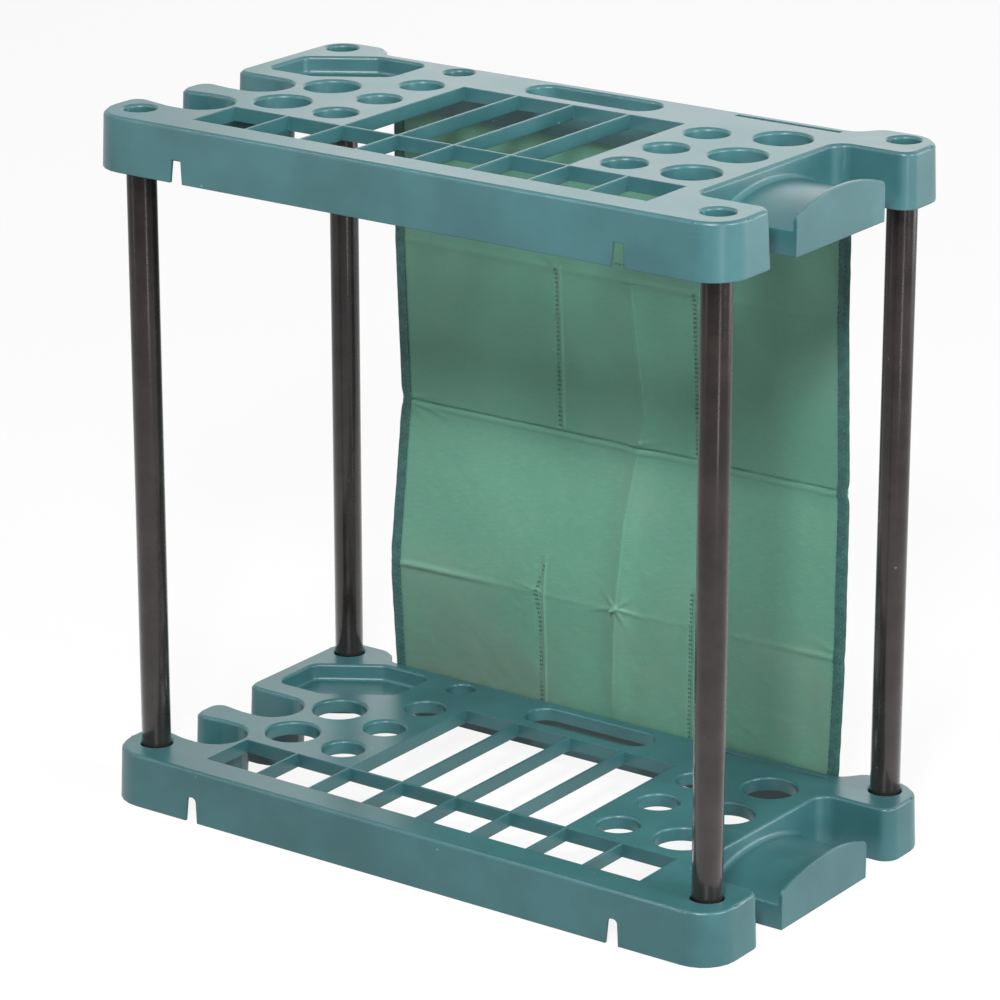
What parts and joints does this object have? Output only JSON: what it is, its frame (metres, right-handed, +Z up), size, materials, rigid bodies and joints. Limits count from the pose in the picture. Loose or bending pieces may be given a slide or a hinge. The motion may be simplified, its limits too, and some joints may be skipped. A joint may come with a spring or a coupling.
{
  "type": "garden tool rack",
  "caption": "Freestanding rack of two perforated moulded shelves on tubular corner posts, with a pocketed cloth tool organiser hung on the back.",
  "frame": {"origin": "middle of the footprint, on the floor", "axes": "+X along the length towards the end with the hanger saddles, +Y to the rear where the cloth hangs, +Z up"},
  "size_m": [0.62, 0.33, 0.6],
  "materials": {
    "shelf_plastic": "satin injection-moulded dark green polypropylene",
    "post_coating": "gloss black-brown coated steel tube",
    "cloth": "woven polyester cloth with a coated sheen",
    "binding_tape": "folded polyester edge tape, stitched",
    "strap_webbing": "flat woven webbing",
    "rivet_plastic": "smooth moulded push rivets"
  },
  "bodies": {
    "rack": {"upper_shelf": "shelf_plastic", "lower_shelf": "shelf_plastic", "post_front_left": "post_coating", "post_front_right": "post_coating", "post_rear_left": "post_coating", "post_rear_right": "post_coating", "organiser_header_strip": "strap_webbing", "organiser_rivets": "rivet_plastic"},
    "organiser": {"organiser_back_panel": "cloth", "organiser_upper_pockets": "cloth", "organiser_lower_pockets": "cloth", "organiser_left_binding": "binding_tape", "organiser_right_binding": "binding_tape", "organiser_bottom_binding": "binding_tape", "organiser_upper_pocket_hem": "binding_tape", "organiser_lower_pocket_hem": "binding_tape"}
  },
  "joints": [
    {"name": "organiser_swing", "type": "hinge", "parent": "rack", "child": "organiser", "pos_m": [0, 0.1474, 0.5704], "axis": [1, 0, 0], "range_deg": [0, 75]}
  ]
}
